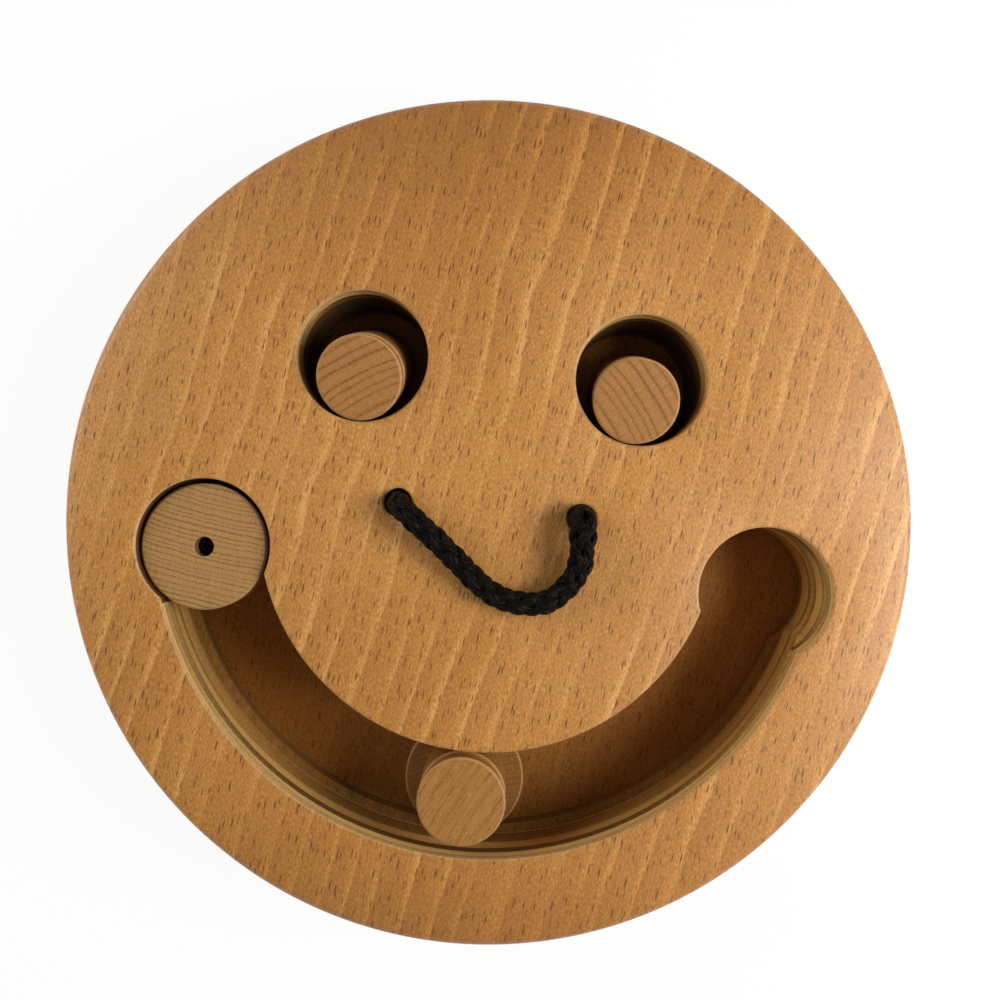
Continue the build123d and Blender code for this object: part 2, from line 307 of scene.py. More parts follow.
def beech_face(name, deep, middle, pale, fleck, offset, sheen_rough, lacquer=0.0, stripe=1.0, flecks=1.0):
    """Flat-sawn beech veneer under lacquer: short dark ray flecks along the grain, slanting growth
    bands with one sharp edge, and fine fibre streaks. The lacquer gives it a broad, soft gloss."""
    material, tree = new_material(name)
    grain = object_mm(tree, turn=8, offset=offset)
    slant = object_mm(tree, turn=13, offset=offset)
    # Growth bands 7 to 12 mm apart, each a pale line with its sharper side to the right
    band_gap, slow_sway, quick_sway = 9.0, 14.0, 13.0
    slow = add(tree, "ShaderNodeTexNoise", {"Vector": slant, "Scale": 1 / 80})
    uneven = streaks(tree, slant, (22, 300, inf), detail=1.0)
    slant_x = add(tree, "ShaderNodeSeparateXYZ", {0: slant})
    sway = add(tree, "ShaderNodeMath", {
        0: slow, 1: slow_sway, 2: slant_x.outputs["X"]}, operation="MULTIPLY_ADD")
    sway = add(tree, "ShaderNodeMath", {0: uneven, 1: quick_sway, 2: sway}, operation="MULTIPLY_ADD")
    wave = add(tree, "ShaderNodeMath", {0: sway, 1: 1 / band_gap}, operation="MULTIPLY")
    band_place = add(tree, "ShaderNodeMath", {0: wave}, operation="FRACT")
    band = add(tree, "ShaderNodeValToRGB", {0: band_place}, ramp=[
        (0.0, 0.38), (0.12, 0.42), (0.50, 0.52), (0.72, 0.56), (0.86, 0.86), (0.94, 0.92), (1.0, 0.38)])
    patchy = add(tree, "ShaderNodeTexNoise", {"Vector": slant, "Scale": 1 / 30, "Detail": 1.0})
    patch = add(tree, "ShaderNodeMapRange", {
        "Value": patchy, "From Min": 0.38, "From Max": 0.64,
        "To Min": 0.18 * stripe, "To Max": 0.66 * stripe})
    tone = shade(tree, 0.5, band, patch, middle=0.52)
    # Fibres: streaks 0.3 mm wide and about 10 mm long, a finer, shorter mottle, and a slow drift of tone
    for across, along, depth in ((0.6, 12.0, 0.40), (0.42, 1.1, 1.25), (110.0, 110.0, 0.45)):
        fibre = streaks(tree, grain, (across, along, 3), detail=3.0, roughness=0.6)
        tone = shade(tree, tone, fibre, depth)
    # The tone is a little darker towards both ends along y
    y_darkening_half = 115.0
    ends = add(tree, "ShaderNodeSeparateXYZ", {0: object_mm(tree)})
    ends = add(tree, "ShaderNodeMath", {0: ends.outputs["Y"], 1: 1 / y_darkening_half}, operation="MULTIPLY")
    ends = add(tree, "ShaderNodeMath", {0: ends, 1: 2.0}, operation="POWER")
    tone = add(tree, "ShaderNodeMath", {0: ends, 1: -0.26, 2: tone}, operation="MULTIPLY_ADD")
    wood = add(tree, "ShaderNodeValToRGB", {0: tone}, ramp=[(0.15, deep), (0.5, middle), (0.85, pale)])
    # Ray flecks: dark spindles 0.45 mm wide and 2 to 3 mm long, one to every 15 square millimetres, and
    # shorter, fainter ones between them
    masks = []
    for across, along, least, more, weight in ((1.55, 9.8, 0.13, 0.09, 1.0), (1.1, 6.0, 0.06, 0.10, 0.6)):
        fleck_at = add(tree, "ShaderNodeMapping", {"Vector": grain, "Scale": (1 / across, 1 / along, 0)})
        cell = add(tree, "ShaderNodeTexVoronoi", {"Vector": fleck_at, "Scale": 1.0}, voronoi_dimensions="2D")
        chance = add(tree, "ShaderNodeSeparateColor", {0: cell.outputs["Color"]})
        reach = add(tree, "ShaderNodeMath", {
            0: chance.outputs["Red"], 1: more, 2: least}, operation="MULTIPLY_ADD")
        core = add(tree, "ShaderNodeMath", {0: reach, 1: 0.3}, operation="MULTIPLY")
        spot = add(tree, "ShaderNodeMapRange", {
            "Value": cell.outputs["Distance"], "From Min": core, "From Max": reach,
            "To Min": weight, "To Max": 0.0})
        faint = add(tree, "ShaderNodeMapRange", {"Value": chance.outputs["Green"], "To Min": 0.45})
        masks.append(add(tree, "ShaderNodeMath", {0: spot, 1: faint}, operation="MULTIPLY"))
    fleck_mask = add(tree, "ShaderNodeMath", {0: masks[0], 1: masks[1]}, operation="MAXIMUM")
    fleck_mask = add(tree, "ShaderNodeMath", {0: fleck_mask, 1: flecks}, operation="MULTIPLY")
    colour = add(tree, "ShaderNodeMix", {0: fleck_mask, 6: wood, 7: srgb(fleck)}, data_type="RGBA")
    rough = add(tree, "ShaderNodeMapRange", {
        "Value": fibre, "From Min": 0.3, "From Max": 0.7,
        "To Min": sheen_rough - 0.06, "To Max": sheen_rough + 0.06})
    relief = add(tree, "ShaderNodeMath", {0: fleck_mask, 1: -0.6, 2: fibre}, operation="MULTIPLY_ADD")
    skin(tree, relief, strength=0.25, depth=0.06, sockets={
        "Base Color": colour.outputs[2], "Roughness": rough, "IOR": 1.5, "Specular IOR Level": 0.25,
        "Coat Weight": lacquer, "Coat Roughness": 0.5, "Coat IOR": 1.5})
    return material


def beech_edge(name, dark, light, glue, ply, first, pore_long, rough, plies=None):
    """Sawn and sanded beech edge: plies whose grain turns from one to the next, thin dark glue lines
    between them, and short strokes of pores. It is oiled, so it looks dull and a little olive. plies
    lists heights and tones where single plies stand out."""
    material, tree = new_material(name)
    place = object_mm(tree)
    xyz = add(tree, "ShaderNodeSeparateXYZ", {0: place})
    waver = add(tree, "ShaderNodeTexNoise", {"Vector": place, "Scale": 1 / 22, "Detail": 1.0})
    level = add(tree, "ShaderNodeMath", {0: waver, 1: 0.35, 2: xyz.outputs["Z"]}, operation="MULTIPLY_ADD")
    level = add(tree, "ShaderNodeMath", {0: level, 1: first}, operation="SUBTRACT")
    layers = add(tree, "ShaderNodeMath", {0: level, 1: 1 / ply}, operation="MULTIPLY")
    number = add(tree, "ShaderNodeMath", {0: layers}, operation="FLOOR")
    within = add(tree, "ShaderNodeMath", {0: layers}, operation="FRACT")
    tint = add(tree, "ShaderNodeTexWhiteNoise", {"W": number}, noise_dimensions="1D")
    # Even plies run one way and odd plies the other, so end grain and long grain change places
    facing = add(tree, "ShaderNodeNewGeometry")
    normal = add(tree, "ShaderNodeSeparateXYZ", {0: facing.outputs["Normal"]})
    across = add(tree, "ShaderNodeMath", {0: normal.outputs["Y"], 1: 2.0}, operation="POWER")
    parity = add(tree, "ShaderNodeMath", {0: number, 1: 2.0}, operation="FLOORED_MODULO")
    flip = add(tree, "ShaderNodeMath", {0: parity, 1: across}, operation="SUBTRACT")
    end_share = add(tree, "ShaderNodeMath", {0: flip}, operation="ABSOLUTE")
    # Pores show as strokes 0.4 mm wide
    strokes = streaks(tree, place, (0.8, 0.8, pore_long), detail=3.0, roughness=0.65)
    # Long grain shows thin growth lines that run along the edge
    lines_at = add(tree, "ShaderNodeCombineXYZ", {"Z": level})
    lines = add(tree, "ShaderNodeTexNoise", {"Vector": lines_at, "Scale": 1.7})
    # Where no single plies are given, end grain is darker by half and each ply is tinted by chance
    end_depth, long_tone, tint_share = -0.52, 0.62, 0.30
    if plies:
        end_depth, long_tone, tint_share = -0.80, 0.42, 1.0
        low, high = plies[0][0] - first, plies[-1][0] - first
        share = add(tree, "ShaderNodeMapRange", {"Value": level, "From Min": low, "From Max": high})
        tint = add(tree, "ShaderNodeValToRGB", {0: share}, ramp=[
            ((at - first - low) / (high - low), ply_tone) for at, ply_tone in plies])
    tone = add(tree, "ShaderNodeMath", {0: end_share, 1: end_depth, 2: long_tone}, operation="MULTIPLY_ADD")
    tone = shade(tree, tone, lines, 0.9)
    tone = add(tree, "ShaderNodeMath", {0: tint, 1: tint_share, 2: tone}, operation="MULTIPLY_ADD")
    tone = shade(tree, tone, strokes, 0.9)
    wood = add(tree, "ShaderNodeValToRGB", {0: tone}, ramp=[(0.0, dark), (1.0, light)])
    # The glue line's dark middle is 0.1 mm wide, and it fades out over 0.11 mm on either side
    middle_off = add(tree, "ShaderNodeMath", {0: within, 1: 0.5}, operation="SUBTRACT")
    from_middle = add(tree, "ShaderNodeMath", {0: middle_off}, operation="ABSOLUTE")
    line = add(tree, "ShaderNodeMapRange", {
        "Value": from_middle, "From Min": 0.5 - 0.16 / ply, "From Max": 0.5 - 0.05 / ply,
        "To Min": 0.0, "To Max": 0.75})
    colour = add(tree, "ShaderNodeMix", {0: line, 6: wood, 7: srgb(glue)}, data_type="RGBA")
    skin(tree, strokes, strength=0.3, depth=0.08, sockets={
        "Base Color": colour.outputs[2], "Roughness": rough, "IOR": 1.5, "Specular IOR Level": 0.35})
    return material


floor_beech = beech_face(
    "oiled_beech_floor", "#7a4914", "#9c6424", "#b27d3a", "#472204", offset=(37, 11, 0),
    sheen_rough=0.6, stripe=0.25, flecks=0.8)
base_edge = beech_edge(
    "sanded_ply_edge", "#8d6a3c", "#cfa76c", "#6a4a24", ply=1.7, first=4.0, pore_long=2.2, rough=0.55)
ledge_beech = beech_face(
    "oiled_beech_ledge", "#7c5424", "#966b32", "#ad8348", "#573614", offset=(90, 60, 0),
    sheen_rough=0.55, stripe=0.4, flecks=0.7)
trough_edge = beech_edge(
    "oiled_trough_edge", "#6b4a22", "#9c7238", "#452a12", ply=1.5, first=9.0, pore_long=1.6, rough=0.6)


def disc_outline(inset=0.0):
    """The board's round outline, or one inside it."""
    return ring((0, 0), board_r - inset, steps=192)


def wells(radius_growth, rope_r):
    """Outlines of the eye wells and of the rope holes."""
    found = [ring(centre, eye_well_r + radius_growth, steps=72) for centre in eyes.values()]
    return found + [ring(centre, rope_r + radius_growth, steps=32) for centre in rope_holes.values()]


base_rim = rounded(disc_outline, base_edge_r, base_z, up=-1) + [(disc_outline(), floor_z)]
base_mesh = layer_mesh("base_board", base_rim, [])
dress("base_board_wood", base_mesh, [floor_beech, base_edge], "board", "base_board")

lower_holes = wells(0.0, knot_hole_r) + [smile_outline(smile_r, slot_w)]
lower_mesh = layer_mesh(
    "lower_board", [(disc_outline(), floor_z), (disc_outline(), ledge_z)],
    [[(hole, floor_z), (hole, ledge_z)] for hole in lower_holes])
dress("lower_board_wood", lower_mesh, [ledge_beech, trough_edge], "board", "lower_board")

# ------------------------ core board
# The thick middle layer, with the groove that the flanges slide in. It is made of thick cross-laid
# beech, so its walls show a broad brown band with short upright strokes of pores.

groove_plies = [(13.5, 0.45), (22.6, 0.50), (23.3, 1.0), (25.8, 0.95), (26.4, 0.50), (33.0, 0.60)]
groove_edge = beech_edge(
    "oiled_groove_edge", "#855a24", "#d6a75f", "#4f3212", ply=6.5, first=14.8, pore_long=2.6, rough=0.58,
    plies=groove_plies)
core_holes = wells(0.0, rope_hole_r) + [smile_outline(groove_r, groove_w)]
# The eye wells' walls in the core are painted dark brown: painted shade, deep down in the wells
bore_shade_edge = beech_edge(
    "painted_shade_bore_edge", "#2e1d0c", "#5a3c1a", "#23150a", ply=6.5, first=14.8, pore_long=2.6, rough=0.6)
core_mesh = layer_mesh(
    "core_board", [(disc_outline(), ledge_z), (disc_outline(), lip_z)],
    [[(hole, ledge_z), (hole, lip_z)] for hole in core_holes])
core_finishes = [ledge_beech, groove_edge, bore_shade_edge]
near_wall = 1.0  # what is this close to a wall belongs to it
for polygon in core_mesh.polygons:
    x, y, _ = polygon.center / MM
    off_axis = min(hypot(x - eye_x, y - eye_y) for eye_x, eye_y in eyes.values())
    # walls of the eye wells take the painted shade
    if polygon.material_index == on_edge and off_axis < eye_well_r + near_wall:
        polygon.material_index = core_finishes.index(bore_shade_edge)
dress("core_board_wood", core_mesh, core_finishes, "board", "core_board")

# ------------------------ top board
# The lip that keeps the sliding pegs in: nine millimetres of beech plywood with a clear satin lacquer
# on its face, its rim rounded over with a router and the wells' edges just broken with sandpaper.

rim_edge_r, mouth_edge_r, lip_arris = 3.0, 0.8, 0.3
face_beech = beech_face(
    "lacquered_beech_face", "#956027", "#ba8039", "#d9a662", "#541e00", offset=(0, 0, 0),
    sheen_rough=0.45, lacquer=0.8)
lip_plies = [(33.0, 0.22), (36.4, 0.16), (36.9, 0.80), (38.3, 0.95), (38.6, 0.50), (39.3, 0.90), (42.0, 1.0)]
lip_edge = beech_edge(
    "oiled_lip_edge", "#6e4a1e", "#dfb671", "#4e3212", ply=3.0, first=33.6, pore_long=1.8, rough=0.5,
    plies=lip_plies)


def mouth_wall(outline_at):
    """A hole's wall through the lip: a broken lower arris, a straight wall and a rounded upper edge."""
    lower = rounded(outline_at, lip_arris, lip_z, up=-1, steps=2)
    return lower + rounded(outline_at, mouth_edge_r, top_z, up=1, steps=5)


lip_rim = [(disc_outline(), lip_z)] + rounded(disc_outline, rim_edge_r, top_z, up=1, steps=10)
hole_count = len(eyes) + len(rope_holes)
lip_holes = [mouth_wall(lambda growth, i=i: wells(growth, rope_hole_r)[i]) for i in range(hole_count)]
lip_holes.append(mouth_wall(lambda growth: smile_outline(smile_r, slot_w, growth)))
# The lower part of the holes' rounded edges shows as a thin pale line: partly sanded bare of lacquer, partly
# a painted highlight where the edges catch the light
arris_wear_and_highlight = beech_face(
    "sanded_and_highlit_beech_arris", "#a88050", "#c59b67", "#dab888", "#8a6238", offset=(0, 0, 0),
    sheen_rough=0.5, stripe=0.5, flecks=0.4)
lacquered_share = 0.25
# The left pocket's wall in the lip is painted dark red-brown: painted shade, in the gap beside the parked
# flange
pocket_shade_wall = beech_edge(
    "painted_shade_pocket_edge", "#3b1f0d", "#6a4220", "#2b170b", ply=3.0, first=33.6, pore_long=1.8, rough=0.6)
lip_finishes = [face_beech, lip_edge, arris_wear_and_highlight, pocket_shade_wall]
lip_mesh = layer_mesh("top_board", lip_rim, lip_holes)
for polygon in lip_mesh.polygons:
    x, y, z = polygon.center / MM
    at_rim = hypot(x, y) > board_r - rim_edge_r - near_wall
    if z > top_z - (rim_edge_r if at_rim else mouth_edge_r):
        # the pale line is sanded wear together with a painted highlight
        sanded = not at_rim and z < top_z - lacquered_share * mouth_edge_r
        polygon.material_index = lip_finishes.index(arris_wear_and_highlight if sanded else face_beech)
    # the left pocket's wall takes the painted shade
    elif hypot(x + pocket_x, y - pocket_y) < pocket_r + near_wall:
        polygon.material_index = lip_finishes.index(pocket_shade_wall)
dress("top_board_wood", lip_mesh, lip_finishes, "board", "top_board")

# ------------------------ rubber feet and their screws
# Four moulded rubber bumpers keep the board off the floor. Each is held by one zinc-plated
# pan-head screw, whose head sits in the bumper's counterbore.

foot_names = [f"{place}_foot" for place in ("right_rear", "left_rear", "left_front", "right_front")]
foot_ring_r = (groove_r + groove_w / 2 + board_r) / 2  # midway between the groove and the rim
first_foot_turn = radians(45)
foot_h, foot_r, foot_sink = 4.0, 8.0, 2.4


def turned_mesh(name, section, steps=96, seat=Matrix.Identity(4)):
    """Turn a half section of (radius, height) about the seat's axis. It is closed, or ends on the axis."""
    bm = bmesh.new()
    solid = section[0][0] == 0
    loops = []
    for radius, z in section[1:-1] if solid else section:
        turns = [2 * pi * i / steps for i in range(steps)]
        loops.append([bm.verts.new(seat @ Vector((radius * cos(t), radius * sin(t), z))) for t in turns])
    bridge(bm, loops if solid else loops + loops[:1])
    if solid:
        bm.faces.new(loops[0])
        bm.faces.new(loops[-1])
    bmesh.ops.scale(bm, vec=(MM,) * 3, verts=bm.verts)
    return closed_mesh(name, bm)


def bend(centre_r, centre_z, radius, start, end, steps=5):
    """Points of a rounded corner in a half section."""
    turns = [radians(start + (end - start) * i / steps) for i in range(steps + 1)]
    return [(centre_r + radius * cos(t), centre_z + radius * sin(t)) for t in turns]


def new_tree(name, inputs):
    """A geometry nodes tree with named inputs, what they give, and each input's identifier."""
    tree = bpy.data.node_groups.new(name, "GeometryNodeTree")
    tree.interface.new_socket(name="Geometry", in_out="INPUT", socket_type="NodeSocketGeometry")
    identifiers = {}
    for label, kind in inputs.items():
        socket = tree.interface.new_socket(name=label, in_out="INPUT", socket_type="NodeSocket" + kind)
        identifiers[label] = socket.identifier
    tree.interface.new_socket(name="Geometry", in_out="OUTPUT", socket_type="NodeSocketGeometry")
    return tree, add(tree, "NodeGroupInput").outputs, identifiers


def taken_from(holder):
    """The plain mesh of what a curve or an object's modifiers make. The object is removed."""
    made = bpy.data.meshes.new_from_object(holder.evaluated_get(bpy.context.evaluated_depsgraph_get()))
    made.name = holder.name
    holder.modifiers.clear()
    bpy.data.objects.remove(holder)
    return made


def run_tree(name, source, tree, identifiers, values):
    """Run a geometry nodes tree on a mesh once, and return the plain mesh that it makes."""
    holder = new_object(name, source)
    modifier = holder.modifiers.new("maker", "NODES")
    modifier.node_group = tree
    for label, value in values.items():
        modifier[identifiers[label]] = value
    return taken_from(holder)


ring_tree, given, ring_inputs = new_tree("ring_of_bumpers", {
    "Count": "Int", "Ring radius": "Float", "First turn": "Float", "Material": "Material"})
points = add(ring_tree, "GeometryNodeMeshCircle", {
    "Vertices": given["Count"], "Radius": given["Ring radius"]})
turn = add(ring_tree, "ShaderNodeCombineXYZ", {"Z": given["First turn"]})
points = add(ring_tree, "GeometryNodeTransform", {"Geometry": points, "Rotation": turn})
placed = add(ring_tree, "GeometryNodeInstanceOnPoints", {
    "Points": points, "Instance": given["Geometry"]})
placed = add(ring_tree, "GeometryNodeRealizeInstances", {"Geometry": placed})
placed = add(ring_tree, "GeometryNodeSetMaterial", {
    "Geometry": placed, "Material": given["Material"]})
add(ring_tree, "NodeGroupOutput", {0: placed})


def ring_of(name, source, material):
    """One of these pieces at each foot, as one mesh."""
    return run_tree(name, source, ring_tree, ring_inputs, {
        "Count": len(foot_names), "Ring radius": foot_ring_r * MM, "First turn": first_foot_turn,
        "Material": material})


# Moulded rubber, matt black with a faint bloom and a fine pebbled skin
rubber, tree = new_material("moulded_black_rubber")
place = object_mm(tree)
pebble = add(tree, "ShaderNodeTexNoise", {"Vector": place, "Scale": 3.0})
bloom = add(tree, "ShaderNodeTexNoise", {"Vector": place, "Scale": 0.25})
colour = add(tree, "ShaderNodeValToRGB", {0: bloom}, ramp=[(0.3, "#17171a"), (0.8, "#26262a")])
skin(tree, pebble, strength=0.3, depth=0.05, sockets={
    "Base Color": colour, "Roughness": 0.62, "IOR": 1.52, "Specular IOR Level": 0.4})

foot_hole_r, foot_sink_r, foot_chamfer, foot_edge_r, foot_taper = 1.7, 3.65, 0.25, 0.6, 1.4
foot_section = [
    (foot_hole_r, foot_sink), (foot_sink_r, foot_sink), (foot_sink_r, foot_chamfer),
    (foot_sink_r + foot_chamfer, 0.0), *bend(foot_r - foot_taper, foot_edge_r, foot_edge_r, -90, -12),
    (foot_r - 0.08, foot_h - 0.4), (foot_r, foot_h - 0.15), (foot_r, foot_h), (foot_hole_r, foot_h)]
feet = ring_of("rubber_feet", turned_mesh("bumper", foot_section, steps=64), rubber)
feet.shade_smooth()
feet.set_sharp_from_angle(angle=radians(35))
dress("rubber_feet", feet, [], "board", *foot_names)

# Zinc-plated steel, bright, with soft grey clouds and a fine grit
zinc, tree = new_material("zinc_plated_steel")
place = object_mm(tree)
cloud = add(tree, "ShaderNodeTexNoise", {"Vector": place, "Scale": 0.6, "Detail": 3.0})
colour = add(tree, "ShaderNodeValToRGB", {0: cloud}, ramp=[(0.3, "#a9a8a2"), (0.7, "#c9c9c6")])
rough = add(tree, "ShaderNodeMapRange", {"Value": cloud, "To Min": 0.24, "To Max": 0.42})
grit = add(tree, "ShaderNodeTexNoise", {"Vector": place, "Scale": 5.0})
skin(tree, grit, strength=0.15, depth=0.03, sockets={
    "Base Color": colour, "Metallic": 1.0, "Roughness": rough})


def pan_screw(name, seat, shank_d, shank_l, head_d, head_t):
    """Pan-head screw with a cross recess: its head is below the seat, and its shank points up."""
    thread_pitch, thread_h, root_w, crest_at = 1.3, 0.25, 0.6, 0.95
    pan_r, thread_root = head_t * 0.7, shank_d / 2 - thread_h
    section = [(0, -head_t)]
    section += bend(head_d / 2 - pan_r, pan_r - head_t, pan_r, -90, 0, 6)
    section += [(head_d / 2, 0)]
    z = 0.0
    while z < shank_l - shank_d - thread_pitch:
        section += [(thread_root, z), (thread_root, z + root_w), (shank_d / 2, z + crest_at)]
        z += thread_pitch
    section += [(thread_root, z), (0.2, shank_l), (0, shank_l)]
    head = new_object(name, turned_mesh(name, section, steps=40, seat=seat))
    # The recess is a plus that narrows as it goes in
    bm = bmesh.new()
    arm, wide, deep = head_d * 0.30, head_d * 0.075, head_t * 0.75
    plus = [(wide, wide), (wide, arm), (-wide, arm), (-wide, wide), (-arm, wide), (-arm, -wide),
            (-wide, -wide), (-wide, -arm), (wide, -arm), (wide, -wide), (arm, -wide), (arm, wide)]
    levels = [(1.05, -head_t - 0.3), (0.45, -head_t + deep)]
    loops = [[bm.verts.new(seat @ Vector((x * k, y * k, z)) * MM) for x, y in plus] for k, z in levels]
    for i in range(len(plus)):
        bm.faces.new((loops[0][i - 1], loops[0][i], loops[1][i], loops[1][i - 1]))
    bm.faces.new(loops[0])
    bm.faces.new(loops[1])
    bmesh.ops.recalc_face_normals(bm, faces=bm.faces)
    cutter = new_object("cross_cutter", bpy.data.meshes.new("cross_cutter"))
    bm.to_mesh(cutter.data)
    bm.free()
    cut = head.modifiers.new("recess", "BOOLEAN")
    cut.object = cutter
    cut.solver = "EXACT"
    screw = taken_from(head)
    bpy.data.objects.remove(cutter)
    return screw


foot_screw = pan_screw(
    "bumper_screw", Matrix.Translation((0, 0, foot_sink)), shank_d=3.3, shank_l=10.0, head_d=7.0, head_t=1.7)
foot_screws = ring_of("bumper_screws", foot_screw, zinc)
dress("bumper_screws", foot_screws, [], "board", *(f"{foot}_screw" for foot in foot_names))

# ------------------------ rope nose
# A short loop of black braided nylon, eight yarns laid four and four over a core. It comes up through
# the right hole, lies on the face and goes down the left one, with a knot under each hole.

rope_d, yarn_count, pair_count = 7.5, 8, 4
rope_route = [
    (26.0, 3.5, 37.5), (26.0, 3.4, 45.0), (26.1, 2.2, 49.4), (26.3, -4.4, 49.4), (26.3, -10.4, 48.0),
    (23.4, -15.9, 46.9), (17.7, -21.4, 46.4), (7.1, -21.4, 46.4), (-0.2, -17.9, 46.4), (-8.2, -10.7, 46.7),
    (-15.6, -4.3, 49.4), (-21.8, 0.3, 49.9), (-26.0, 3.5, 45.3), (-26.0, 3.5, 37.5)]


def route_line(name, route):
    """The NURBS spline of a rope's route, as a mesh of its points and edges."""
    curve = bpy.data.curves.new(name, "CURVE")
    curve.dimensions = "3D"
    curve.resolution_u = 16
    spline = curve.splines.new("NURBS")
    spline.points.add(len(route) - 1)
    for point, (x, y, z) in zip(spline.points, route):
        point.co = (x * MM, y * MM, z * MM, 1)
    spline.order_u = 3
    spline.use_endpoint_u = True
    return taken_from(new_object(name, curve))


braid, given, braid_inputs = new_tree("eight_yarn_braid", {
    "Samples": "Int", "Pitch": "Float", "Lay radius": "Float", "Crossing rise": "Float",
    "Yarn width": "Float", "Yarn height": "Float", "Core radius": "Float", "Tight share": "Float",
    "Material": "Material"})
line = add(braid, "GeometryNodeMeshToCurve", {"Mesh": given["Geometry"]})
line = add(braid, "GeometryNodeResampleCurve", {"Curve": line, "Count": given["Samples"]})
along = add(braid, "GeometryNodeSplineParameter")
tangent = add(braid, "GeometryNodeInputTangent")
normal = add(braid, "GeometryNodeInputNormal")
kept = add(braid, "GeometryNodeCaptureAttribute", {0: line})
for label, kind, source in (
        ("Length", "FLOAT", along.outputs["Length"]), ("Tangent", "VECTOR", tangent.outputs[0]),
        ("Normal", "VECTOR", normal.outputs[0])):
    kept.capture_items.new(kind, label)
    braid.links.new(source, kept.inputs[label])
# The yarns wind in pairs, one of each pair to the left and one to the right
yarns = add(braid, "GeometryNodeDuplicateElements", {
    "Geometry": kept.outputs[0], "Amount": yarn_count}, domain="SPLINE")
index = yarns.outputs["Duplicate Index"]
odd = add(braid, "ShaderNodeMath", {0: index, 1: 2.0}, operation="MODULO")
hand = add(braid, "ShaderNodeMath", {0: odd, 1: -2.0, 2: 1.0}, operation="MULTIPLY_ADD")
pair = add(braid, "ShaderNodeMath", {0: index, 1: 2.0}, operation="DIVIDE")
pair = add(braid, "ShaderNodeMath", {0: pair}, operation="FLOOR")
wind = add(braid, "ShaderNodeMath", {
    0: kept.outputs["Length"], 1: given["Pitch"]}, operation="DIVIDE")
wind = add(braid, "ShaderNodeMath", {0: wind, 1: 2 * pi}, operation="MULTIPLY")
swing = add(braid, "ShaderNodeMath", {0: wind, 1: hand}, operation="MULTIPLY")
angle = add(braid, "ShaderNodeMath", {0: pair, 1: 2 * pi / pair_count, 2: swing}, operation="MULTIPLY_ADD")
# A yarn rises over the first yarn that it meets, dives under the next, and so on
phase = add(braid, "ShaderNodeMath", {0: wind, 1: pair_count}, operation="MULTIPLY")
rise = add(braid, "ShaderNodeMath", {0: phase}, operation="COSINE")
rise = add(braid, "ShaderNodeMath", {0: rise, 1: hand}, operation="MULTIPLY")
rise = add(braid, "ShaderNodeMath", {0: rise, 1: given["Crossing rise"]}, operation="MULTIPLY")
lay = add(braid, "ShaderNodeMath", {0: rise, 1: given["Lay radius"]}, operation="ADD")
# The braid is loose at its start and tight further on
loose_to, tight_from = 8.0, 32.0
tight = add(braid, "ShaderNodeMapRange", {
    "Value": kept.outputs["Length"], "From Min": loose_to * MM, "From Max": tight_from * MM, "To Min": 1.0,
    "To Max": given["Tight share"]}, interpolation_type="SMOOTHSTEP")
lay = add(braid, "ShaderNodeMath", {0: lay, 1: tight}, operation="MULTIPLY")
side = add(braid, "ShaderNodeVectorMath", {
    0: kept.outputs["Tangent"], 1: kept.outputs["Normal"]}, operation="CROSS_PRODUCT")
cosine = add(braid, "ShaderNodeMath", {0: angle}, operation="COSINE")
sine = add(braid, "ShaderNodeMath", {0: angle}, operation="SINE")
part_a = add(braid, "ShaderNodeVectorMath", {0: kept.outputs["Normal"], "Scale": cosine}, operation="SCALE")
part_b = add(braid, "ShaderNodeVectorMath", {0: side, "Scale": sine}, operation="SCALE")
outward = add(braid, "ShaderNodeVectorMath", {0: part_a, 1: part_b}, operation="ADD")
offset = add(braid, "ShaderNodeVectorMath", {0: outward, "Scale": lay}, operation="SCALE")
laid = add(braid, "GeometryNodeSetPosition", {"Geometry": yarns.outputs["Geometry"], "Offset": offset})
laid = add(braid, "GeometryNodeSetCurveNormal", {"Curve": laid, "Normal": outward}, mode="FREE")
laid = add(braid, "GeometryNodeStoreNamedAttribute", {
    "Geometry": laid, "Name": "yarn_along", "Value": along.outputs["Length"]},
    data_type="FLOAT", domain="POINT")
round_section = add(braid, "GeometryNodeCurvePrimitiveCircle", {"Resolution": 14, "Radius": 0.5})
size = add(braid, "ShaderNodeCombineXYZ", {
    "X": given["Yarn height"], "Y": given["Yarn width"], "Z": 1.0})
oval = add(braid, "GeometryNodeTransform", {"Geometry": round_section.outputs["Curve"], "Scale": size})
oval = add(braid, "GeometryNodeStoreNamedAttribute", {
    "Geometry": oval, "Name": "yarn_around", "Value": along.outputs["Factor"]},
    data_type="FLOAT", domain="POINT")
laid = add(braid, "GeometryNodeCurveToMesh", {"Curve": laid, "Profile Curve": oval, "Fill Caps": True})
core_section = add(braid, "GeometryNodeCurvePrimitiveCircle", {
    "Resolution": 12, "Radius": given["Core radius"]})
core_tube = add(braid, "GeometryNodeCurveToMesh", {
    "Curve": line, "Profile Curve": core_section.outputs["Curve"], "Fill Caps": True})
rope = add(braid, "GeometryNodeJoinGeometry", {0: laid})
braid.links.new(core_tube.outputs[0], rope.inputs[0])
rope = add(braid, "GeometryNodeRealizeInstances", {"Geometry": rope})
rope = add(braid, "GeometryNodeSetShadeSmooth", {"Geometry": rope})
rope = add(braid, "GeometryNodeSetMaterial", {"Geometry": rope, "Material": given["Material"]})
add(braid, "NodeGroupOutput", {0: rope})

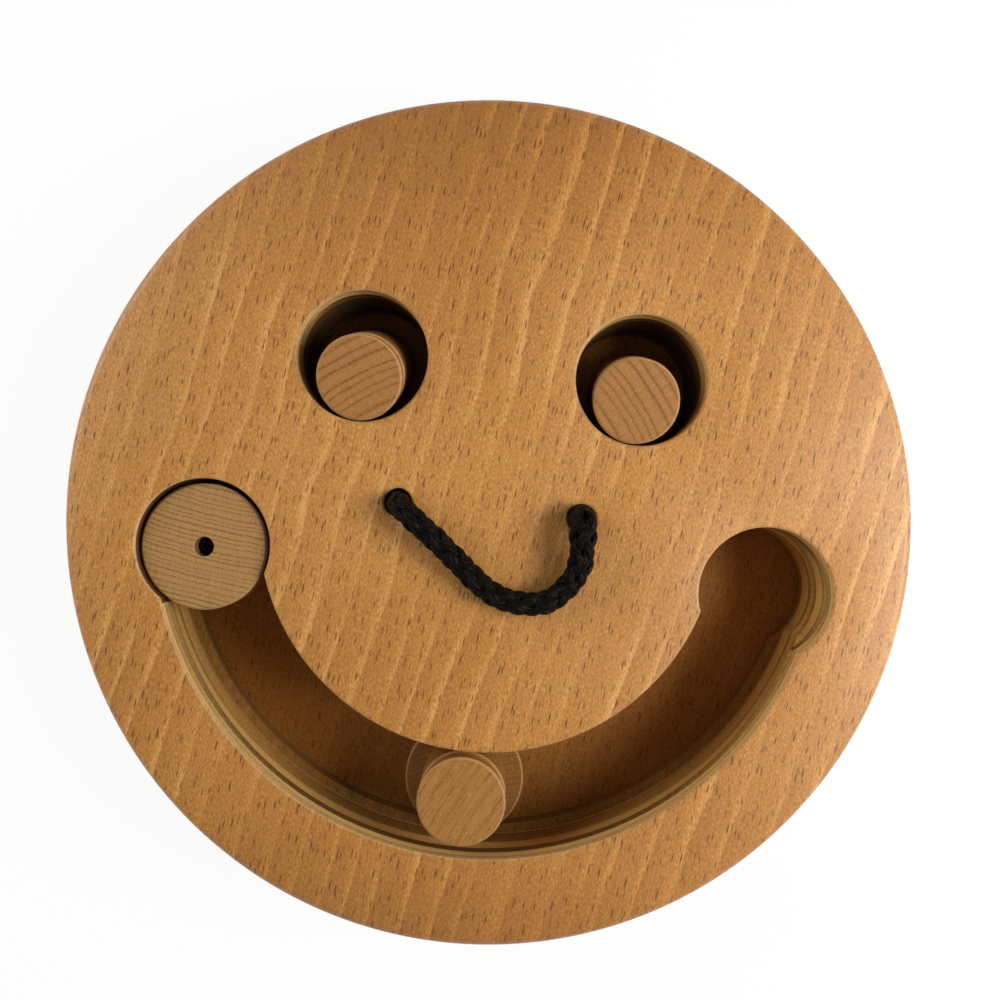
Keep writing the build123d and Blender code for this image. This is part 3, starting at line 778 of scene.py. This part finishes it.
# Black nylon yarn: near black, with a soft gloss that breaks up along its twisted filaments. They show
# as nine slanting ridges round the yarn, 2.4 mm apart along it
ridge_count, ridge_gap = 9, 2.4
nylon, tree = new_material("black_nylon_braid")
along = add(tree, "ShaderNodeAttribute", attribute_name="yarn_along")
around = add(tree, "ShaderNodeAttribute", attribute_name="yarn_around")
ridges = add(tree, "ShaderNodeMath", {
    0: along.outputs["Fac"], 1: 1 / (ridge_gap * MM)}, operation="MULTIPLY")
ridges = add(tree, "ShaderNodeMath", {
    0: around.outputs["Fac"], 1: ridge_count, 2: ridges}, operation="MULTIPLY_ADD")
ridges = add(tree, "ShaderNodeMath", {0: ridges, 1: 2 * pi}, operation="MULTIPLY")
ridges = add(tree, "ShaderNodeMath", {0: ridges}, operation="SINE")
fuzz = add(tree, "ShaderNodeTexNoise", {"Vector": object_mm(tree), "Scale": 2.2, "Detail": 3.0})
relief = add(tree, "ShaderNodeMath", {0: fuzz, 1: 1.6, 2: ridges}, operation="MULTIPLY_ADD")
colour = add(tree, "ShaderNodeValToRGB", {0: fuzz}, ramp=[(0.35, "#030201"), (0.70, "#0b0906")])
skin(tree, relief, strength=0.5, depth=0.12, sockets={
    "Base Color": colour, "Roughness": 0.4, "IOR": 1.53, "Specular IOR Level": 0.07})

# Sizes where the rope is at its full thickness. Its yarns are flattened
braid_pitch, lay_r, crossing_rise, tight_share = 30.0, 2.75, 0.55, 0.80
yarn_w, yarn_h, core_r = 2.9, 1.7, 1.7


def braided(name, route, samples, thickness):
    """Braid along a route: its mesh, and the line that it follows. thickness is a share of the rope's."""
    line = route_line(name + "_line", route)
    path = [tuple(v.co) for v in line.vertices]
    mesh = run_tree(name, line, braid, braid_inputs, {
        "Samples": samples, "Pitch": braid_pitch * MM, "Lay radius": lay_r * MM * thickness,
        "Crossing rise": crossing_rise * MM * thickness, "Yarn width": yarn_w * MM * thickness,
        "Yarn height": yarn_h * MM * thickness, "Core radius": core_r * MM * thickness,
        "Tight share": tight_share, "Material": nylon})
    return mesh, path


nose_mesh, nose_path = braided("braided_nose", rope_route, samples=240, thickness=1.0)
nose = dress("braided_nose", nose_mesh, [], "board", "nose_rope")

# Down each hole, then an overhand knot pulled tight in its pocket, and a short tail
neck_z, knot_top, knot_z, knot_foot, tail_z = 30.0, 23.5, 15.9, 14.0, 11.5
knot_r, knot_rise = 1.65, 3.4
knot_runs, knot_first, knot_share = 14, 0.5, 0.94
for side, (x, y) in rope_holes.items():
    knot_route = [(x, y, rope_route[0][2]), (x, y, neck_z), (x, y, knot_top)]
    for i in range(knot_runs + 1):
        t = 2 * pi * i / knot_runs * knot_share + knot_first
        knot_route.append((
            x + knot_r * (sin(t) + 2 * sin(2 * t)), y + knot_r * (cos(t) - 2 * cos(2 * t)),
            knot_z - knot_rise * sin(3 * t)))
    knot_route += [(x + 0.5, y, knot_foot), (x, y, tail_z)]
    knot_mesh, _ = braided(f"{side}_knot", knot_route, samples=300, thickness=0.6)
    dress(f"{side}_knot", knot_mesh, [], "board", f"{side}_rope_end")

# ------------------------ eye pegs
# Plain pegs turned from beech, with end grain on both ends and a shallow cove under the cap for teeth
# and fingers. They are loose, so each leans on the rim of its well.

peg_edge, cap_t, cove_w, cove_depth = 0.6, 2.2, 5.6, 1.3
eye_peg_r, eye_peg_l, rim_gap = 12.0, 35.0, 0.3


def knob_section(radius, length, foot):
    """Half section of a turned knob, from the last point of its foot up to its top face."""
    cove_top = length - cap_t
    cove_middle = cove_top - cove_w / 2
    cove_r = ((cove_w / 2) ** 2 + cove_depth ** 2) / (2 * cove_depth)
    half_turn = degrees(asin(cove_w / 2 / cove_r))
    hollow = bend(
        radius - cove_depth + cove_r, cove_middle, cove_r, 180 + half_turn, 180 - half_turn, steps=12)
    return [*foot, *hollow, (radius, length - peg_edge), (radius - peg_edge, length), (0, length)]


def seat_matrix(origin, x_dir, z_dir):
    """A piece's seat: its place, with its axis along z_dir."""
    x, z = Vector(x_dir), Vector(z_dir)
    y = z.cross(x)
    turn = Matrix((x, y, z)).transposed().to_4x4()
    return Matrix.Translation(origin) @ turn


def leaning_seat(eye, lean, heading):
    """Seat of a peg that stands on one edge of its foot and leans on the well's rim."""
    lean, heading = radians(lean), radians(heading)
    foot_lift = eye_peg_r * sin(lean)
    rim_reach = eye_well_r - rim_gap - eye_peg_r / cos(lean)
    foot_reach = rim_reach - (top_z - floor_z - foot_lift) * tan(lean)
    along, across = cos(heading), sin(heading)
    return seat_matrix(
        (eye[0] + foot_reach * along, eye[1] + foot_reach * across, floor_z + foot_lift),
        (-across, along, 0), (along * sin(lean), across * sin(lean), cos(lean)))


def turned_beech(name, seat, pale, line, side, ring_turn, ring_gap, pith, ring_depth=1.0, sawn=False):
    """Turned beech with end grain: close dark growth lines across its ends, faint rays square to them,
    and long fibres down its sides. Oiled end grain looks a little darker and duller than the face."""
    material, tree = new_material(name)
    where = add(tree, "ShaderNodeTexCoord")
    local = add(tree, "ShaderNodeMapping", {
        "Vector": where.outputs["Object"], "Location": seat.translation * MM, "Rotation": seat.to_euler(),
        "Scale": (MM,) * 3}, vector_type="TEXTURE")
    rings_at = add(tree, "ShaderNodeMapping", {"Vector": local, "Rotation": (0, 0, radians(-ring_turn))})
    xyz = add(tree, "ShaderNodeSeparateXYZ", {0: rings_at})
    flat = add(tree, "ShaderNodeMath", {0: xyz.outputs["Y"], 1: pith}, operation="ADD")
    from_pith = add(tree, "ShaderNodeCombineXYZ", {"X": xyz.outputs["X"], "Y": flat})
    reach = add(tree, "ShaderNodeVectorMath", {0: from_pith}, operation="LENGTH")
    waver = add(tree, "ShaderNodeTexNoise", {"Vector": rings_at, "Scale": 1 / 9})
    reach = add(tree, "ShaderNodeMath", {
        0: waver, 1: 1.3, 2: reach.outputs["Value"]}, operation="MULTIPLY_ADD")
    # Good and poor years make the rings wider and narrower, and some of them darker than others
    years_at = add(tree, "ShaderNodeCombineXYZ", {"X": reach})
    years = add(tree, "ShaderNodeTexNoise", {"Vector": years_at, "Scale": 0.3 / ring_gap, "Detail": 1.0})
    reach = add(tree, "ShaderNodeMath", {0: years, 1: 2.6 * ring_gap, 2: reach}, operation="MULTIPLY_ADD")
    rings = add(tree, "ShaderNodeMath", {0: reach, 1: 1 / ring_gap}, operation="MULTIPLY")
    year = add(tree, "ShaderNodeMath", {0: rings}, operation="FLOOR")
    year_luck = add(tree, "ShaderNodeTexWhiteNoise", {"W": year}, noise_dimensions="1D")
    year_depth = add(tree, "ShaderNodeMapRange", {
        "Value": year_luck, "To Min": 0.6 * ring_depth, "To Max": 1.4 * ring_depth})
    rings = add(tree, "ShaderNodeMath", {0: rings}, operation="FRACT")
    ring_tone = add(tree, "ShaderNodeValToRGB", {0: rings}, ramp=[
        (0.0, 0.12), (0.10, 0.30), (0.24, 0.80), (0.60, 0.95), (0.88, 0.80), (1.0, 0.34)])
    # A sawn end hides most of the rays that a smooth one shows
    ray_depth = 0.35 if sawn else 0.8
    pores = streaks(tree, local, (0.45, 0.45, 9), roughness=0.6)
    rays = streaks(tree, rings_at, (0.5, 6, 20))
    grainy = add(tree, "ShaderNodeMath", {0: pores, 1: 0.5}, operation="SUBTRACT")
    grainy = shade(tree, grainy, rays, ray_depth)
    tone = add(tree, "ShaderNodeMath", {0: grainy, 1: 1.2, 2: 0.8}, operation="MULTIPLY_ADD")
    tone = shade(tree, tone, ring_tone, year_depth, middle=0.8)
    relief = grainy
    if sawn:
        # Marks of the saw that cut the blank, about 0.6 mm apart
        marks = streaks(tree, rings_at, (6, 0.6, 1), detail=3.0)
        relief = add(tree, "ShaderNodeMath", {0: marks, 1: 1.5, 2: grainy}, operation="MULTIPLY_ADD")
        tone = shade(tree, tone, marks, 2.2)
    ends = add(tree, "ShaderNodeMix", {0: tone, 6: srgb(line), 7: srgb(pale)}, data_type="RGBA")
    facing = add(tree, "ShaderNodeNewGeometry")
    axis = seat.to_3x3() @ Vector((0, 0, 1))
    upright = add(tree, "ShaderNodeVectorMath", {
        0: facing.outputs["Normal"], 1: axis}, operation="DOT_PRODUCT")
    upright = add(tree, "ShaderNodeMath", {0: upright.outputs["Value"]}, operation="ABSOLUTE")
    is_end = add(tree, "ShaderNodeMapRange", {"Value": upright, "From Min": 0.55, "From Max": 0.8})
    side_tone = add(tree, "ShaderNodeMath", {0: grainy, 1: 1.1, 2: 0.5}, operation="MULTIPLY_ADD")
    sides = add(tree, "ShaderNodeMix", {0: side_tone, 6: srgb(line), 7: srgb(side)}, data_type="RGBA")
    colour = add(tree, "ShaderNodeMix", {
        0: is_end, 6: sides.outputs[2], 7: ends.outputs[2]}, data_type="RGBA")
    # Chamfers are paler, partly worn and partly a painted highlight where they catch the light; a few specks
    # where the grain stands up are worn paler too
    worn_and_highlit = add(tree, "ShaderNodeValToRGB", {0: upright}, ramp=[
        (0.58, 0.0), (0.66, 0.22), (0.76, 0.22), (0.84, 0.0)])
    specks = streaks(tree, local, (0.55,) * 3, detail=1.0)
    specks = add(tree, "ShaderNodeMapRange", {
        "Value": specks, "From Min": 0.66, "From Max": 0.76, "To Min": 0.0, "To Max": 0.4})
    worn_and_highlit = add(tree, "ShaderNodeMath", {0: worn_and_highlit, 1: specks}, operation="MAXIMUM")
    colour = add(tree, "ShaderNodeMix", {
        0: worn_and_highlit, 6: colour.outputs[2], 7: srgb("#dcb884")}, data_type="RGBA")
    skin(tree, relief, strength=0.35, depth=0.08, sockets={
        "Base Color": colour.outputs[2], "Roughness": 0.52, "IOR": 1.5, "Specular IOR Level": 0.35})
    return material


eye_foot = [(0, 0), (eye_peg_r - peg_edge, 0), (eye_peg_r, peg_edge)]
for side, lean, heading, ring_turn in (("left", 13.0, -88.0, 29.5), ("right", 11.0, -102.0, -40.0)):
    seat = leaning_seat(eyes[side], lean, heading)
    wood = turned_beech(
        f"oiled_end_grain_{side}_eye", seat, "#a97741", "#7b4d22", "#9d6e39", ring_turn, ring_gap=2.7,
        pith=75.0)
    mesh = turned_mesh(f"{side}_eye_peg", knob_section(eye_peg_r, eye_peg_l, eye_foot), seat=seat)
    dress(f"{side}_eye_knob", mesh, [wood], f"{side}_eye", f"{side}_eye_peg")

# ------------------------ sliding pegs
# Two like pegs, each a turned knob screwed to a wider flange that runs under the lip. One stands in
# the smile with its knob up. The other is parked in the left pocket, upside down.

# Phosphated steel: dull black, with a grey bloom where it catches the light
phosphate, tree = new_material("black_phosphate_steel")
bloom = add(tree, "ShaderNodeTexNoise", {"Vector": object_mm(tree), "Scale": 1.4, "Detail": 3.0})
colour = add(tree, "ShaderNodeValToRGB", {0: bloom}, ramp=[(0.3, "#1b1a19"), (0.75, "#302e2c")])
skin(tree, bloom, strength=0.3, depth=0.03, sockets={
    "Base Color": colour, "Metallic": 1.0, "Roughness": 0.55})

flange_r, flange_t, sliding_knob_r, sliding_l = 18.0, 7.0, 12.5, 30.5
screw_hole_r, screw_sink_r, screw_sink, pilot_depth, sink_chamfer = 1.75, 2.8, 5.0, 16.3, 0.2
pilot_top = flange_t + pilot_depth
flange_section = [
    (screw_sink_r, sink_chamfer), (screw_sink_r + sink_chamfer, 0), (flange_r - peg_edge, 0),
    (flange_r, peg_edge), (flange_r, flange_t - peg_edge), (flange_r - peg_edge, flange_t),
    (screw_hole_r, flange_t), (screw_hole_r, screw_sink), (screw_sink_r, screw_sink)]
sliding_foot = [
    (0, pilot_top), (screw_hole_r, pilot_top), (screw_hole_r, flange_t), (sliding_knob_r, flange_t)]
slider_seat = seat_matrix((-0.82, -78.55, ledge_z), (1, 0, 0), (0, 0, 1))
parked_seat = seat_matrix((-80.01, -13.94, floor_z + sliding_l), (1, 0, 0), (0, 0, -1))
# The slider's flange tones are darker than the parked one's: painted shade, as that flange runs in the
# shadow under the lip
for body, seat, knob_turn, flange_turn, sawn, flange_tones in (
        ("slider", slider_seat, 62.0, 20.0, True, ("#885b22", "#714816", "#79501b")),
        ("parked", parked_seat, 30.0, 9.0, False, ("#ad8450", "#76532b", "#8c6638"))):
    knob_wood = turned_beech(
        f"oiled_end_grain_{body}_knob", seat, "#a47339", "#80531f", "#94672f", knob_turn, ring_gap=2.9,
        pith=90.0, ring_depth=0.5, sawn=sawn)
    flange_wood = turned_beech(
        f"oiled_end_grain_{body}_flange", seat, *flange_tones, flange_turn, ring_gap=1.45, pith=200.0)
    knob_mesh = turned_mesh(
        f"{body}_knob", knob_section(sliding_knob_r, sliding_l, sliding_foot), seat=seat)
    dress(f"{body}_turned_knob", knob_mesh, [knob_wood], body, f"{body}_knob")
    flange_mesh = turned_mesh(f"{body}_flange", flange_section, steps=112, seat=seat)
    dress(f"{body}_turned_flange", flange_mesh, [flange_wood], body, f"{body}_flange")
    screw_mesh = pan_screw(
        f"{body}_flange_screw", seat @ Matrix.Translation((0, 0, screw_sink)),
        shank_d=3.4, shank_l=18.0, head_d=5.3, head_t=2.0)
    dress(f"{body}_flange_screw", screw_mesh, [phosphate], body, f"{body}_screw")
